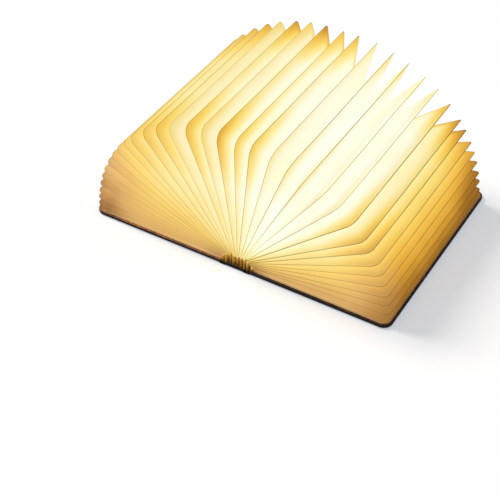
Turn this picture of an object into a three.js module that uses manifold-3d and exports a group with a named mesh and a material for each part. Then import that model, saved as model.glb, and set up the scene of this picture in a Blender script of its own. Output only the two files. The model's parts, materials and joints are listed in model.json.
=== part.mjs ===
// Folding book lamp: a hard book case that opens flat, with a fan of lit paper pleats inside.
// Lengths are in millimetres. The book lies open on the table, outer faces down.
// +X points across the back cover, +Y to the head of the book, +Z up.
// The origin is on the table under the middle of the spine.

import * as THREE from 'three';
import { mergeVertices } from 'three/addons/utils/BufferGeometryUtils.js';
import Module from 'manifold-3d';

const wasm = await Module();
wasm.setup();

const quarterTurn = Math.PI / 2;
const fullTurn = Math.PI * 2;

// Book case
const bookHeight = 210;
const coverWidth = 137.5;
const cornerRadius = 9;
const foldX = 12; // each fold line stands this far from the middle of the spine
const coverGutter = 3.5; // fold line to the edge of the cover board
const spineGutter = 2.5; // fold line to the edge of the spine board
const reliefHeight = 0.6;
const leatherThickness = 0.9;
const boardThickness = 2;
const turnInThickness = 0.5;
const turnInWidth = 14;
const endpaperThickness = 0.3;
const endpaperMargin = 2;
const seatGap = 0.1; // between flat layers that are glued together
const runningGap = 0.3; // between pieces that meet edge to edge
const overrun = 2; // how far a cutting solid passes what it cuts
const weldDistance = 1e-5; // points closer than this are one corner

// Heights of the layers, from the table up
const foldZ = reliefHeight + leatherThickness;
const boardLow = foldZ + seatGap;
const boardHigh = boardLow + boardThickness;
const turnInLow = boardHigh + seatGap;
const coverHigh = turnInLow + turnInThickness;
const endpaperLow = coverHigh + seatGap;
const endpaperHigh = endpaperLow + endpaperThickness;

// Places across the case
const coverNear = foldX + coverGutter;
const coverEdge = coverNear + coverWidth;
const spineHalf = foldX - spineGutter;

// Raised ornament on the outer faces
const frameInset = 4;
const frameWidth = 4;
const lineInset = 12;
const lineWidth = 1.6;
const rosetteInset = 25;
const rosetteRadius = 8;
const rosetteHole = 5.6;
const rosetteBoss = 3;
const bracketRadius = 30;
const bracketWidth = 2.2;
const medallionRadius = 34;
const medallionBand = 3.4;
const medallionInner = 23;
const medallionInnerBand = 1.6;
const petalCount = 8;
const petalRoot = 8;
const petalTip = 21.5;
const petalHalf = 3.6;
const medallionBoss = 6;
const reliefSink = 0.1; // how far the ornament's root goes into the leather

// Spine bands
const bandCount = 5;
const bandWidth = 7;
const bandEndMargin = 24;
const spineFrameInset = 3;
const spineFrameWidth = 2.4;

// Paper fan
// On each side the first pages stand wide apart and take up wideShare of the quarter turn.
// The rest crowd together toward the cover, the more so the higher the power.
const rightFan = { pleats: 15, widePages: 8, wideShare: 0.602, crowdingPower: 1.15 };
const leftFan = { pleats: 17, widePages: 7, wideShare: 0.519, crowdingPower: 1.25 };
const foreMargin = 1;
const endMargin = 4.5;
const tailRootReach = 2.4; // fold line to the inner end of a page at the tail
const headRootReach = 6.5; // the same at the head, above the neck of the light unit
const pleatDepth = 30;
const tipRetreat = 6; // how far the head edge draws in from root to tip
const tipSpread = 2; // how far the tail edge spreads out from root to tip
const tailSoftness = 7;
const tailSoftnessRise = 7;
const headSoftness = 4;
const valleyRadius = 1.5;
const paperThickness = 0.3;
const ridgeFold = 1.6; // depth of the doubled paper along a ridge
const thinnestShare = 0.1; // least thickness of a wall, of the half width of its pleat
const stackSlack = 0.9; // closed stack of pages to the lining of the cover
const gussetFolds = 9;
const gussetDepth = 1.6;
const gussetHeight = 5.2;
const gussetSideMargin = 0.8; // end of the gusset to the fold line
const legSteps = 4;
const cornerSteps = 4;

// Light unit on the spine
const trayHalfWidth = 8;
const trayEndGap = 4.5; // end of the tray to the valleys of the pleats
const trayHeight = 9;
const trayWall = 1.2;
const trayFloor = 0.8;
const ledgeWidth = 0.9;
const ledgeHeight = 1;
const neckHalfWidth = 6.2;
const neckWallHeight = 2.4;
const neckFloor = 0.5;
const neckEndMargin = 2;
const circuitHalfWidth = 5.6;
const circuitThickness = 0.8;
const circuitCentreGap = 2.2; // middle of the tray to the end of the circuit
const circuitTongueHalf = 4;
const socketWidth = 8.9;
const socketHeight = 3.2;
const socketLength = 7.4;
const socketWall = 0.35;
const socketTongueWidth = 6.6;
const socketTongueHeight = 0.7;
const socketTongueInset = 1.2;
const cellWidth = 11.6;
const cellHeight = 5;
const cellCentreGap = 4.2; // middle of the tray to the end of the cell
const cellRounding = 1.6;
const postInset = 2.4;
const postRadius = 1.9;
const screwHole = 0.75;
const screwRadius = 0.55;
const screwHeadRadius = 1.5;
const screwHeadHeight = 0.8;
const screwLength = 4;
const screwSlotWidth = 0.4;
const screwSlotDepth = 0.35;
const stripThickness = 1;
const stripEndMargin = 0.5;
const chipCount = 22;
const chipLength = 3;
const chipWidth = 2.8;
const chipHeight = 0.8;
const chipEndMargin = 8;
const diffuserWall = 1;
const diffuserRise = 5;
const diffuserFoot = 2; // straight foot below its arch
const diffuserSteps = 10;
const switchRadius = 1;
const switchLength = 12;
const switchLead = 4;
const switchLeadRadius = 0.3;
const magnetRadius = 5;
const magnetThickness = 1.4;
const magnetFromFold = 14;

const reds = { leather: 0x3b1f12, board: 0x8a8378, lining: 0xf3e3bd, page: 0xffd27a };
const pales = { tray: 0xf1efe9, diffuser: 0xfff6e0, chip: 0xf6e7a8, cell: 0x9fb4c6 };
const metals = { circuit: 0x1f5b3a, steel: 0xb9bcc0, magnet: 0xc4c6c9, glass: 0xbcd3cf };

function solidOf(geometry) {
  const bare = geometry.clone();
  bare.deleteAttribute('normal');
  bare.deleteAttribute('uv');
  const merged = mergeVertices(bare, weldDistance);
  return new wasm.Manifold(new wasm.Mesh({
    numProp: 3,
    vertProperties: Float32Array.from(merged.attributes.position.array),
    triVerts: Uint32Array.from(merged.index.array),
  }));
}

function geometryOf(solid) {
  const mesh = solid.getMesh();
  const geometry = new THREE.BufferGeometry();
  geometry.setAttribute('position', new THREE.BufferAttribute(Float32Array.from(mesh.vertProperties), 3));
  geometry.setIndex(Array.from(mesh.triVerts));
  geometry.computeVertexNormals();
  return geometry;
}

function named(name, geometry, color, roughness, metalness = 0) {
  const material = new THREE.MeshStandardMaterial({ color, roughness, metalness });
  const mesh = new THREE.Mesh(geometry, material);
  mesh.name = name;
  return mesh;
}

function slab(shape, low, high) {
  const settings = { depth: high - low, bevelEnabled: false };
  return new THREE.ExtrudeGeometry(shape, settings).translate(0, 0, low);
}

function block(x0, x1, y0, y1, z0, z1) {
  const box = new THREE.BoxGeometry(x1 - x0, y1 - y0, z1 - z0);
  return box.translate((x0 + x1) / 2, (y0 + y1) / 2, (z0 + z1) / 2);
}

function barAlongY(radius, y0, y1, x, z, sides = 16) {
  const bar = new THREE.CylinderGeometry(radius, radius, y1 - y0, sides);
  return bar.translate(x, (y0 + y1) / 2, z);
}

function post(radius, x, y, z0, z1, sides = 16) {
  const upright = new THREE.CylinderGeometry(radius, radius, z1 - z0, sides).rotateX(quarterTurn);
  return upright.translate(x, y, (z0 + z1) / 2);
}

// A shape through the points of an outline, each corner once, and mirrored in X where side is -1.
function cleanShape(points, side = 1) {
  const apart = points.filter((p, i) => i === 0 || p.distanceTo(points[i - 1]) > weldDistance);
  if (apart[0].distanceTo(apart[apart.length - 1]) < weldDistance) {
    apart.pop();
  }
  return new THREE.Shape(apart.map((p) => new THREE.Vector2(side * p.x, p.y)));
}

// One cover seen from above, drawn for the back cover and mirrored for the front one.
function coverOutline(side, inset, hingeInset = inset) {
  const near = coverNear + hingeInset;
  const far = coverEdge - inset;
  const half = bookHeight / 2 - inset;
  const round = Math.max(cornerRadius - inset, leatherThickness);
  const shape = new THREE.Shape();
  shape.moveTo(near, -half);
  shape.lineTo(far - round, -half);
  shape.absarc(far - round, -half + round, round, -quarterTurn, 0);
  shape.absarc(far - round, half - round, round, 0, quarterTurn);
  shape.lineTo(near, half);
  return cleanShape(shape.getPoints(6), side);
}

// A raised figure of the ornament, from the table up into the leather, with or without a hole.
function raised(outer, inner) {
  const figure = solidOf(slab(outer, 0, reliefHeight + reliefSink));
  return inner ? figure.subtract(solidOf(slab(inner, -overrun, reliefHeight + overrun))) : figure;
}

function circle(x, y, radius, steps) {
  const points = [];
  for (let i = 0; i < steps; i += 1) {
    const angle = (fullTurn * i) / steps;
    points.push(new THREE.Vector2(x + radius * Math.cos(angle), y + radius * Math.sin(angle)));
  }
  return new THREE.Shape(points);
}

function petal(x, y, turn) {
  const middle = (petalRoot + petalTip) / 2;
  const outline = new THREE.Shape();
  outline.moveTo(petalRoot, 0);
  outline.quadraticCurveTo(middle, -petalHalf * 2, petalTip, 0);
  outline.quadraticCurveTo(middle, petalHalf * 2, petalRoot, 0);
  const points = outline.getPoints(5).map((p) => p.clone().rotateAround(new THREE.Vector2(), turn));
  return cleanShape(points.map((p) => new THREE.Vector2(p.x + x, p.y + y)));
}

// A quarter band around the inner corner of the line frame, facing the middle of the cover.
function bracket(x, y, towardX, towardY) {
  const steps = 6;
  const points = [];
  for (const radius of [bracketRadius, bracketRadius - bracketWidth]) {
    for (let i = 0; i <= steps; i += 1) {
      const share = radius === bracketRadius ? i / steps : 1 - i / steps;
      const angle = quarterTurn * share;
      points.push(new THREE.Vector2(
        x + towardX * radius * Math.cos(angle),
        y + towardY * radius * Math.sin(angle),
      ));
    }
  }
  return new THREE.Shape(points);
}

function coverOrnament(side) {
  const figures = [
    raised(coverOutline(side, frameInset), coverOutline(side, frameInset + frameWidth)),
    raised(coverOutline(side, lineInset), coverOutline(side, lineInset + lineWidth)),
  ];
  const lineHalf = bookHeight / 2 - lineInset;
  const corners = [coverNear + lineInset, coverEdge - lineInset];
  for (const cornerX of corners) {
    const towardX = cornerX === corners[0] ? 1 : -1;
    for (const towardY of [-1, 1]) {
      const roseX = side * (cornerX + towardX * (rosetteInset - lineInset));
      const roseY = -towardY * (bookHeight / 2 - rosetteInset);
      figures.push(raised(circle(roseX, roseY, rosetteRadius, 16), circle(roseX, roseY, rosetteHole, 16)));
      figures.push(raised(circle(roseX, roseY, rosetteBoss, 12)));
      figures.push(raised(bracket(side * cornerX, -towardY * lineHalf, side * towardX, towardY)));
    }
  }
  const x = side * (coverNear + coverEdge) / 2;
  figures.push(raised(circle(x, 0, medallionRadius, 32), circle(x, 0, medallionRadius - medallionBand, 32)));
  figures.push(raised(circle(x, 0, medallionInner + medallionInnerBand, 24), circle(x, 0, medallionInner, 24)));
  for (let i = 0; i < petalCount; i += 1) {
    figures.push(raised(petal(x, 0, (fullTurn * i) / petalCount)));
  }
  figures.push(raised(circle(x, 0, medallionBoss, 16)));
  return figures;
}

// Leather over one cover: outer skin, wrapped edges and the turn-in over the inner face.
function coverLeather(side) {
  let skin = solidOf(slab(coverOutline(side, 0), reliefHeight, coverHigh));
  const cavity = coverOutline(side, leatherThickness, -overrun);
  skin = skin.subtract(solidOf(slab(cavity, foldZ, turnInLow)));
  const mouth = coverOutline(side, turnInWidth, -overrun);
  skin = skin.subtract(solidOf(slab(mouth, foldZ, coverHigh + overrun)));
  for (const figure of coverOrnament(side)) {
    skin = skin.add(figure);
  }
  return geometryOf(skin);
}

function coverBoard(side) {
  const outline = coverOutline(side, leatherThickness + seatGap, seatGap);
  return slab(outline, boardLow, boardHigh);
}

function magnetPlace() {
  return { x: -(foldX + magnetFromFold), y: 0, low: boardHigh - magnetThickness };
}

function frontBoard() {
  const place = magnetPlace();
  const pocket = post(magnetRadius + seatGap, place.x, place.y, place.low - seatGap, boardHigh + overrun, 20);
  return geometryOf(solidOf(coverBoard(-1)).subtract(solidOf(pocket)));
}

function sensorMagnet() {
  const place = magnetPlace();
  return post(magnetRadius, place.x, place.y, place.low, boardHigh, 20);
}

function endpaper(side) {
  return slab(coverOutline(side, endpaperMargin, 0), endpaperLow, endpaperHigh);
}

// Spine leather: skin with raised bands below, wrapped up over the head and the tail.
function spineLeather() {
  const half = bookHeight / 2;
  let skin = solidOf(block(-spineHalf, spineHalf, -half, half, reliefHeight, foldZ));
  for (const end of [-1, 1]) {
    const y = end * (half - leatherThickness / 2);
    const wrap = block(-spineHalf, spineHalf, y - leatherThickness / 2, y + leatherThickness / 2,
      reliefHeight, boardHigh);
    skin = skin.add(solidOf(wrap));
  }
  const bandHalf = spineHalf - spineFrameInset;
  for (let i = 0; i < bandCount; i += 1) {
    const y = -half + bandEndMargin + (i * (bookHeight - bandEndMargin * 2)) / (bandCount - 1);
    const band = block(-spineHalf, spineHalf, y - bandWidth / 2, y + bandWidth / 2,
      0, reliefHeight + reliefSink);
    skin = skin.add(solidOf(band));
  }
  for (const side of [-1, 1]) {
    const inner = side * bandHalf;
    const outer = side * (bandHalf - spineFrameWidth);
    const rail = block(Math.min(inner, outer), Math.max(inner, outer),
      -half + spineFrameInset, half - spineFrameInset, 0, reliefHeight + reliefSink);
    skin = skin.add(solidOf(rail));
  }
  return geometryOf(skin);
}

function spineBoard() {
  const half = bookHeight / 2 - leatherThickness - seatGap;
  return block(-spineHalf, spineHalf, -half, half, boardLow, boardHigh);
}

// Supple leather between a cover and the spine, which bends when the book closes.
function hingeStrip(side) {
  const near = side * (spineHalf + runningGap);
  const far = side * (coverNear - runningGap);
  return block(Math.min(near, far), Math.max(near, far), -bookHeight / 2, bookHeight / 2,
    reliefHeight, foldZ);
}

// The fan. A page number counts from the upright page, positive over the back cover.
// Halves between two numbers are the valleys between their pleats.
const pageReach = coverEdge - foldX - foreMargin;
const pageHalf = bookHeight / 2 - endMargin;
const stackHalf = foldX - (endpaperHigh - foldZ) - stackSlack;
const stackStep = (stackHalf * 2) / (rightFan.pleats + leftFan.pleats);

function sideOf(number) {
  return number < 0 ? -1 : 1;
}

// How far a page leans out from upright when the book lies open.
function lean(number) {
  const { pleats, widePages, wideShare, crowdingPower } = number < 0 ? leftFan : rightFan;
  const wide = Math.min(Math.abs(number), widePages);
  const crowded = (Math.abs(number) - wide) / (pleats + 1 - widePages);
  const crowdedShare = (1 - wideShare) * (1 - (1 - crowded) ** crowdingPower);
  return quarterTurn * ((wide * wideShare) / widePages + crowdedShare);
}

// Where a page stands in the closed stack, from its own fold line.
function stackOffset(number) {
  const middle = (rightFan.pleats - leftFan.pleats) / 2;
  return (number - middle) * stackStep - sideOf(number) * foldX;
}

function turned(x, z, angle) {
  return [x * Math.cos(angle) + z * Math.sin(angle), z * Math.cos(angle) - x * Math.sin(angle)];
}

// A point of page `other`, `reach` from its fold line, as seen from page `number`.
function seenFrom(number, other, reach) {
  const turn = sideOf(other) * lean(other);
  const [x, z] = turned(stackOffset(other), reach, turn);
  const shift = (sideOf(other) - sideOf(number)) * foldX;
  return turned(x + shift, z, -sideOf(number) * lean(number));
}

// One end of a page's outline: up from the fold line along the tail edge and round the corner.
// Each station has a point on the ridge and the point of the valley that belongs to it.
function pageEnd(softness, rootReach) {
  const stations = [];
  for (let i = 0; i < legSteps; i += 1) {
    const share = i / legSteps;
    stations.push({
      ridge: [rootReach + (pageReach - softness - rootReach) * share, -pageHalf],
      valley: [rootReach + (pageReach - pleatDepth - valleyRadius - rootReach) * share, pleatDepth - pageHalf],
    });
  }
  for (let i = 0; i <= cornerSteps; i += 1) {
    const angle = (quarterTurn * i) / cornerSteps;
    const along = (radius, inset) => [
      pageReach - inset - radius + radius * Math.sin(angle),
      inset + radius - radius * Math.cos(angle) - pageHalf,
    ];
    stations.push({ ridge: along(softness, 0), valley: along(valleyRadius, pleatDepth) });
  }
  return stations;
}

// The whole outline: the tail edge, the fore edge and the head edge, which is the tail's mirror.
function pageStations(number) {
  const tail = pageEnd(tailSoftness + tailSoftnessRise * Math.cos(lean(number)) ** 2, tailRootReach);
  const flip = (point) => [point[0], -point[1]];
  const head = pageEnd(headSoftness, headRootReach)
    .map((s) => ({ ridge: flip(s.ridge), valley: flip(s.valley) })).reverse();
  const middle = { ridge: [pageReach, 0], valley: [pageReach - pleatDepth, 0] };
  return [...tail, middle, ...head];
}

function drawnIn(point) {
  const spread = point[1] < 0 ? tipSpread : -tipRetreat;
  return [point[0], point[1] * (1 + (spread * point[0]) / (pageReach * pageHalf))];
}

// One pleat: two walls of paper that meet in a ridge along the page's outline.
// It is drawn standing in the closed stack, with its fold line as the Y axis.
function pleat(number) {
  const plane = stackOffset(number);
  const positions = [];
  const stations = pageStations(number);
  for (const station of stations) {
    const [ridgeReach, ridgeY] = drawnIn(station.ridge);
    const [valleyReach, valleyY] = drawnIn(station.valley);
    const foldShare = ridgeFold / Math.hypot(ridgeReach - valleyReach, ridgeY - valleyY);
    const walls = [-1, 1].map((way) => {
      const [x, z] = seenFrom(number, number + way / 2, valleyReach);
      const half = Math.abs(x - plane) - runningGap / 2;
      const inner = Math.max(half - paperThickness, half * thinnestShare);
      return { way, half, inner, z };
    });
    const [low, high] = walls;
    const foldReach = ridgeReach + (valleyReach - ridgeReach) * foldShare;
    const foldY = ridgeY + (valleyY - ridgeY) * foldShare;
    positions.push(plane - low.half, valleyY, low.z);
    positions.push(plane, ridgeY, ridgeReach);
    positions.push(plane + high.half, valleyY, high.z);
    positions.push(plane + high.inner, valleyY, high.z);
    positions.push(plane, foldY, foldReach);
    positions.push(plane - low.inner, valleyY, low.z);
  }
  const corners = 6;
  const towardRidge = [0, 3, 5]; // strips whose first edge runs along a valley
  const faces = [];
  for (let i = 0; i + 1 < stations.length; i += 1) {
    const pastMiddle = i * 2 >= stations.length - 1;
    for (let k = 0; k < corners; k += 1) {
      const a = i * corners + k;
      const b = i * corners + ((k + 1) % corners);
      // Both faces of a wall are split along the same diagonal, so the paper keeps its thickness.
      if (towardRidge.includes(k) === pastMiddle) {
        faces.push(a, b, a + corners, b, b + corners, a + corners);
      } else {
        faces.push(a, b, b + corners, a, b + corners, a + corners);
      }
    }
  }
  const last = (stations.length - 1) * corners;
  faces.push(0, 4, 1, 0, 5, 4, 1, 3, 2, 1, 4, 3);
  faces.push(last, last + 1, last + 4, last, last + 4, last + 5);
  faces.push(last + 1, last + 2, last + 3, last + 1, last + 3, last + 4);
  const geometry = new THREE.BufferGeometry();
  geometry.setAttribute('position', new THREE.BufferAttribute(new Float32Array(positions), 3));
  geometry.setIndex(faces);
  geometry.computeVertexNormals();
  return geometry;
}

function pleatName(number) {
  if (number === 0) return 'pleat_upright';
  const side = number < 0 ? 'front' : 'back';
  return `pleat_${side}_${String(Math.abs(number)).padStart(2, '0')}`;
}

function openedPleat(number) {
  const holder = new THREE.Group();
  holder.position.set(sideOf(number) * foldX, 0, foldZ);
  holder.rotation.y = sideOf(number) * lean(number);
  holder.add(named(pleatName(number), pleat(number), reds.page, 0.8));
  return holder;
}

// The light unit, built up from the spine board.
const trayLow = boardHigh + seatGap;
const trayHigh = trayLow + trayHeight;
const stripLow = trayHigh - stripThickness;
const ledgeLow = stripLow - seatGap - ledgeHeight;
const neckEnd = bookHeight / 2 - neckEndMargin;
const trayHalfLength = pageHalf - pleatDepth - trayEndGap;
const trayInnerHalf = trayHalfWidth - trayWall;
const trayInnerEnd = trayHalfLength - trayWall;
const stripHalfWidth = trayInnerHalf - seatGap;
const stripHalfLength = trayInnerEnd - stripEndMargin;
const circuitLow = trayLow + neckFloor + runningGap * 2;
const postY = trayInnerEnd - postInset;
const bayEnd = postY - postRadius - runningGap; // room along the tray up to its screw posts

// The folded foot of the paper at the tail end of the spine, in front of the roots of the pages.
function rootGusset() {
  const half = foldX - gussetSideMargin;
  const outerY = -pageHalf - runningGap - paperThickness;
  const shape = new THREE.Shape();
  const points = [];
  for (let i = 0; i <= gussetFolds * 2; i += 1) {
    const x = -half + (half * i) / gussetFolds;
    points.push(new THREE.Vector2(x, outerY - (i % 2) * gussetDepth));
  }
  for (let i = gussetFolds * 2; i >= 0; i -= 1) {
    points.push(new THREE.Vector2(points[i].x, points[i].y + paperThickness));
  }
  shape.setFromPoints(points);
  return slab(shape, trayLow, trayLow + gussetHeight);
}

function lightTray() {
  let tray = solidOf(block(-trayHalfWidth, trayHalfWidth, -trayHalfLength, trayHalfLength,
    trayLow, trayHigh));
  const neck = block(-neckHalfWidth, neckHalfWidth, trayInnerEnd, neckEnd, trayLow,
    trayLow + neckWallHeight);
  tray = tray.add(solidOf(neck));
  tray = tray.subtract(solidOf(block(-trayInnerHalf + ledgeWidth, trayInnerHalf - ledgeWidth,
    -trayInnerEnd, trayInnerEnd, trayLow + trayFloor, trayHigh + overrun)));
  tray = tray.subtract(solidOf(block(-trayInnerHalf, trayInnerHalf, -trayInnerEnd, trayInnerEnd,
    stripLow - seatGap, trayHigh + overrun)));
  tray = tray.subtract(solidOf(block(-trayInnerHalf, trayInnerHalf, -trayInnerEnd, trayInnerEnd,
    trayLow + trayFloor, ledgeLow)));
  const gate = neckHalfWidth - trayWall;
  tray = tray.subtract(solidOf(block(-gate, gate, trayInnerEnd - trayWall, neckEnd + overrun,
    trayLow + neckFloor, trayLow + neckWallHeight + overrun)));
  for (const end of [-1, 1]) {
    const y = end * postY;
    const column = solidOf(post(postRadius, 0, y, trayLow + trayFloor / 2, stripLow - seatGap));
    const low = stripLow - screwLength;
    tray = tray.add(column).subtract(solidOf(post(screwHole, 0, y, low, trayHigh + overrun, 12)));
  }
  return geometryOf(tray);
}

// Strip of lamps: a white board with a row of small square chips on it, fixed by two screws.
function lampStrip() {
  let strip = solidOf(block(-stripHalfWidth, stripHalfWidth, -stripHalfLength, stripHalfLength,
    stripLow, trayHigh));
  const run = (postY - chipEndMargin) * 2;
  for (let i = 0; i < chipCount; i += 1) {
    const y = -run / 2 + (run * i) / (chipCount - 1);
    strip = strip.add(solidOf(block(-chipWidth / 2, chipWidth / 2, y - chipLength / 2, y + chipLength / 2,
      trayHigh - seatGap, trayHigh + chipHeight)));
  }
  for (const end of [-1, 1]) {
    strip = strip.subtract(solidOf(post(screwHole, 0, end * postY, stripLow - overrun,
      trayHigh + overrun, 12)));
  }
  return geometryOf(strip);
}

function stripScrew(end) {
  const top = trayHigh + seatGap;
  const profile = [
    new THREE.Vector2(0, -screwLength),
    new THREE.Vector2(screwRadius, screwRadius - screwLength),
    new THREE.Vector2(screwRadius, 0),
    new THREE.Vector2(screwHeadRadius, 0),
    new THREE.Vector2(screwHeadRadius, screwHeadHeight / 2),
    new THREE.Vector2(screwHeadRadius / 2, screwHeadHeight),
    new THREE.Vector2(0, screwHeadHeight),
  ];
  const body = new THREE.LatheGeometry(profile, 12).rotateX(quarterTurn).translate(0, end * postY, top);
  const slot = block(-screwHeadRadius * 2, screwHeadRadius * 2, end * postY - screwSlotWidth / 2,
    end * postY + screwSlotWidth / 2, top + screwHeadHeight - screwSlotDepth, top + screwHeadHeight + overrun);
  return geometryOf(solidOf(body).subtract(solidOf(slot)));
}

// Frosted cover over the lamps: a low arch with closed ends, standing on the tray's rim.
function diffuser() {
  const arch = (half, rise, base) => {
    const points = [new THREE.Vector2(half, base - trayHigh), new THREE.Vector2(-half, base - trayHigh)];
    for (let i = 0; i <= diffuserSteps; i += 1) {
      const angle = Math.PI * (1 - i / diffuserSteps);
      points.push(new THREE.Vector2(half * Math.cos(angle), rise * Math.sin(angle) + diffuserFoot));
    }
    return new THREE.Shape(points);
  };
  const run = (half, rise, base, length) => {
    const settings = { depth: length * 2, bevelEnabled: false };
    const solid = new THREE.ExtrudeGeometry(arch(half, rise, base), settings);
    return solid.rotateX(quarterTurn).translate(0, length, trayHigh);
  };
  const rim = trayHigh + seatGap;
  const outer = solidOf(run(trayHalfWidth, diffuserRise, rim, trayHalfLength));
  const inner = run(trayHalfWidth - diffuserWall, diffuserRise - diffuserWall, rim - overrun,
    trayHalfLength - diffuserWall);
  return geometryOf(outer.subtract(solidOf(inner)));
}

// Charging and driver circuit: in the head half of the tray, with a tongue out to the socket.
function controlBoard() {
  const socketBack = neckEnd - socketLength;
  const low = circuitLow;
  const high = low + circuitThickness;
  const main = solidOf(block(-circuitHalfWidth, circuitHalfWidth, circuitCentreGap, bayEnd, low, high));
  const cut = solidOf(post(postRadius + runningGap, 0, postY, low - overrun, high + overrun));
  const arms = block(-circuitTongueHalf, circuitTongueHalf, bayEnd - overrun, socketBack - runningGap, low, high);
  return geometryOf(main.add(solidOf(arms)).subtract(cut));
}

// Charging socket: a flat rounded tube of steel with a contact tongue, joined by its back wall.
function chargeSocket() {
  const flatOval = (width, height) => {
    const round = height / 2;
    const shape = new THREE.Shape();
    shape.absarc(width / 2 - round, 0, round, -quarterTurn, quarterTurn);
    shape.absarc(round - width / 2, 0, round, quarterTurn, quarterTurn * 3);
    return cleanShape(shape.getPoints(6));
  };
  const along = (shape, back, front) => {
    const settings = { depth: front - back, bevelEnabled: false };
    const solid = new THREE.ExtrudeGeometry(shape, settings).rotateX(quarterTurn);
    return solid.translate(0, front, trayLow + neckFloor + seatGap + socketHeight / 2);
  };
  const back = neckEnd - socketLength;
  const shell = solidOf(along(flatOval(socketWidth, socketHeight), back, neckEnd));
  const mouth = flatOval(socketWidth - socketWall * 2, socketHeight - socketWall * 2);
  const hollow = solidOf(along(mouth, back + socketWall * 2, neckEnd + overrun));
  const tongue = along(flatOval(socketTongueWidth, socketTongueHeight), back + socketWall,
    neckEnd - socketTongueInset);
  return geometryOf(shell.subtract(hollow).add(solidOf(tongue)));
}

// Flat rechargeable cell in the tail half of the tray.
function batteryCell() {
  const half = cellWidth / 2 - cellRounding;
  const rise = cellHeight / 2 - cellRounding;
  const shape = new THREE.Shape();
  shape.absarc(half, -rise, cellRounding, -quarterTurn, 0);
  shape.absarc(half, rise, cellRounding, 0, quarterTurn);
  shape.absarc(-half, rise, cellRounding, quarterTurn, quarterTurn * 2);
  shape.absarc(-half, -rise, cellRounding, quarterTurn * 2, quarterTurn * 3);
  const settings = { depth: bayEnd - cellCentreGap, bevelEnabled: false };
  const low = trayLow + trayFloor + seatGap;
  return new THREE.ExtrudeGeometry(cleanShape(shape.getPoints(3)), settings).rotateX(quarterTurn)
    .translate(0, -cellCentreGap, low + cellHeight / 2);
}

// Sealed contact switch beside the battery end of the circuit, turned off by the magnet in the cover.
function lidSwitch() {
  const x = -circuitHalfWidth / 2;
  const z = circuitLow + circuitThickness + switchRadius + seatGap;
  const middle = (circuitCentreGap + bayEnd) / 2;
  const capsule = new THREE.CapsuleGeometry(switchRadius, switchLength - switchRadius * 2, 3, 10);
  const glass = solidOf(capsule.translate(x, middle, z));
  const end = switchLength / 2 + switchLead;
  const lead = barAlongY(switchLeadRadius, middle - end, middle + end, x, z, 8);
  return geometryOf(glass.add(solidOf(lead)));
}

const backCover = new THREE.Group();
backCover.add(named('back_leather', coverLeather(1), reds.leather, 0.5));
backCover.add(named('back_board', coverBoard(1), reds.board, 0.9));
backCover.add(named('back_endpaper', endpaper(1), reds.lining, 0.8));

const frontCover = new THREE.Group();
frontCover.add(named('front_leather', coverLeather(-1), reds.leather, 0.5));
frontCover.add(named('front_board', frontBoard(), reds.board, 0.9));
frontCover.add(named('front_endpaper', endpaper(-1), reds.lining, 0.8));
frontCover.add(named('sensor_magnet', sensorMagnet(), metals.magnet, 0.3, 1));

const spine = new THREE.Group();
spine.add(named('spine_leather', spineLeather(), reds.leather, 0.5));
spine.add(named('spine_board', spineBoard(), reds.board, 0.9));
spine.add(named('back_hinge_leather', hingeStrip(1), reds.leather, 0.5));
spine.add(named('front_hinge_leather', hingeStrip(-1), reds.leather, 0.5));
spine.add(named('root_gusset', rootGusset(), reds.page, 0.8));

const lightUnit = new THREE.Group();
lightUnit.add(named('light_tray', lightTray(), pales.tray, 0.5));
lightUnit.add(named('lamp_strip', lampStrip(), pales.chip, 0.5));
lightUnit.add(named('diffuser', diffuser(), pales.diffuser, 0.4));
lightUnit.add(named('control_board', controlBoard(), metals.circuit, 0.5));
lightUnit.add(named('charge_socket', chargeSocket(), metals.steel, 0.3, 1));
lightUnit.add(named('battery_cell', batteryCell(), pales.cell, 0.4));
lightUnit.add(named('lid_switch', lidSwitch(), metals.glass, 0.1));
lightUnit.add(named('strip_screw_tail', stripScrew(-1), metals.steel, 0.3, 1));
lightUnit.add(named('strip_screw_head', stripScrew(1), metals.steel, 0.3, 1));
spine.add(lightUnit);

const fan = new THREE.Group();
for (let number = -leftFan.pleats; number <= rightFan.pleats; number += 1) {
  fan.add(openedPleat(number));
}

const bookLamp = new THREE.Group();
bookLamp.add(backCover, spine, frontCover, fan);

export default bookLamp;
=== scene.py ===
# %% [markdown]
# # A folding book lamp, dressed in Blender
#
# The lamp is a hard leather-covered book. It opens flat, and a sheet of tear-proof paper,
# folded into 33 pleats between its covers, spreads into a glowing fan.
#
# The rigid model holds every piece at its real size. This lesson gives it its looks: finer paper
# pleats, embossed leather, and a procedural finish for each piece. All lengths are in metres.
# The origin is on the table under the middle of the spine, +X runs across the back cover,
# +Y to the head of the book and +Z up.

import json
import math

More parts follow.
